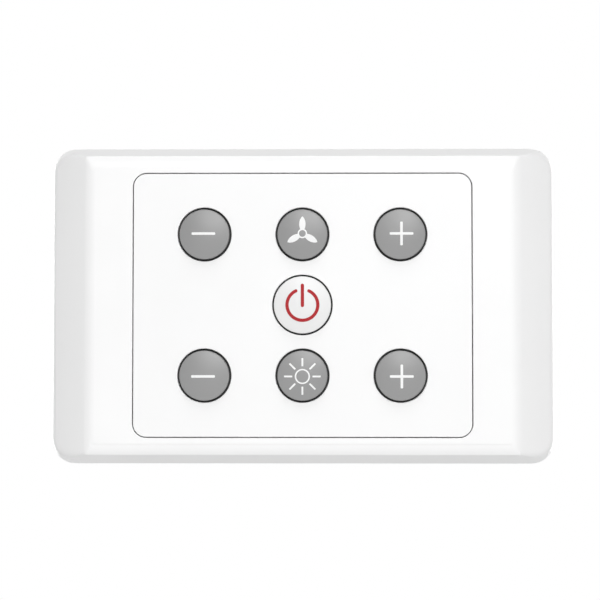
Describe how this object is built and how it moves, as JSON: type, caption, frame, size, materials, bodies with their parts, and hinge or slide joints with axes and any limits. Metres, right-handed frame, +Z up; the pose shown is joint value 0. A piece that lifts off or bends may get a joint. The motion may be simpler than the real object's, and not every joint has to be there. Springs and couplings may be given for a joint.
{
  "type": "fan speed control switch",
  "caption": "White wall control for a ceiling fan and its light: a bevelled clip-on surround, a flush panel of round press buttons, and a rear housing with screw terminals.",
  "frame": {"origin": "centre of the wall plane, midway between the two fixing slots", "axes": "+X to the right along the plate, +Z up the plate, +Y into the wall; the buttons face -Y"},
  "size_m": [0.117, 0.0362, 0.0736],
  "materials": {
    "cover_white": "smooth moulded white with a soft gloss",
    "panel_white": "smooth moulded white with a soft gloss",
    "cap_grey": "satin moulded mid grey",
    "cap_white": "satin moulded white",
    "legend_white": "satin white",
    "legend_red": "satin red",
    "switch_black": "moulded black",
    "plunger_black": "moulded black",
    "board_green": "glass-fibre laminate with solder mask",
    "chip_black": "moulded black",
    "plate_white": "moulded white, plain inside face",
    "housing_white": "moulded white, plain inside face",
    "screw_steel": "zinc-plated steel",
    "transformer_dark": "ferrite and varnished winding",
    "relay_blue": "moulded blue",
    "capacitor_yellow": "dipped yellow film body",
    "capacitor_sleeve": "shrunk dark sleeve",
    "terminal_green": "moulded green",
    "clamp_brass": "plain brass"
  },
  "bodies": {
    "base": {"surround_cover": "cover_white", "front_panel": "panel_white", "fan_down_switch": "switch_black", "fan_switch": "switch_black", "fan_up_switch": "switch_black", "power_switch": "switch_black", "light_down_switch": "switch_black", "light_switch": "switch_black", "light_up_switch": "switch_black", "circuit_board": "board_green", "controller_chip": "chip_black", "mounting_plate": "plate_white", "rear_housing": "housing_white", "housing_screws": "screw_steel", "supply_board": "board_green", "supply_transformer": "transformer_dark", "switching_relay": "relay_blue", "film_capacitor": "capacitor_yellow", "smoothing_capacitor": "capacitor_sleeve", "link_header": "chip_black", "terminal_block": "terminal_green", "terminal_clamps": "clamp_brass", "terminal_screws": "screw_steel"},
    "fan_down_key": {"fan_down_button": "cap_grey", "fan_down_legend_inlay": "legend_white", "fan_down_plunger": "plunger_black"},
    "fan_key": {"fan_button": "cap_grey", "fan_legend_inlay": "legend_white", "fan_plunger": "plunger_black"},
    "fan_up_key": {"fan_up_button": "cap_grey", "fan_up_legend_inlay": "legend_white", "fan_up_plunger": "plunger_black"},
    "power_key": {"power_button": "cap_white", "power_legend_inlay": "legend_red", "power_plunger": "plunger_black"},
    "light_down_key": {"light_down_button": "cap_grey", "light_down_legend_inlay": "legend_white", "light_down_plunger": "plunger_black"},
    "light_key": {"light_button": "cap_grey", "light_legend_inlay": "legend_white", "light_plunger": "plunger_black"},
    "light_up_key": {"light_up_button": "cap_grey", "light_up_legend_inlay": "legend_white", "light_up_plunger": "plunger_black"}
  },
  "joints": [
    {"name": "fan_down_press", "type": "slide", "parent": "base", "child": "fan_down_key", "axis": [0, 1, 0], "range_m": [0, 0.0005], "stiffness_N_per_m": 3000, "springref_m": -0.0002},
    {"name": "fan_press", "type": "slide", "parent": "base", "child": "fan_key", "axis": [0, 1, 0], "range_m": [0, 0.0005], "stiffness_N_per_m": 3000, "springref_m": -0.0002},
    {"name": "fan_up_press", "type": "slide", "parent": "base", "child": "fan_up_key", "axis": [0, 1, 0], "range_m": [0, 0.0005], "stiffness_N_per_m": 3000, "springref_m": -0.0002},
    {"name": "power_press", "type": "slide", "parent": "base", "child": "power_key", "axis": [0, 1, 0], "range_m": [0, 0.0005], "stiffness_N_per_m": 3000, "springref_m": -0.0002},
    {"name": "light_down_press", "type": "slide", "parent": "base", "child": "light_down_key", "axis": [0, 1, 0], "range_m": [0, 0.0005], "stiffness_N_per_m": 3000, "springref_m": -0.0002},
    {"name": "light_press", "type": "slide", "parent": "base", "child": "light_key", "axis": [0, 1, 0], "range_m": [0, 0.0005], "stiffness_N_per_m": 3000, "springref_m": -0.0002},
    {"name": "light_up_press", "type": "slide", "parent": "base", "child": "light_up_key", "axis": [0, 1, 0], "range_m": [0, 0.0005], "stiffness_N_per_m": 3000, "springref_m": -0.0002}
  ]
}
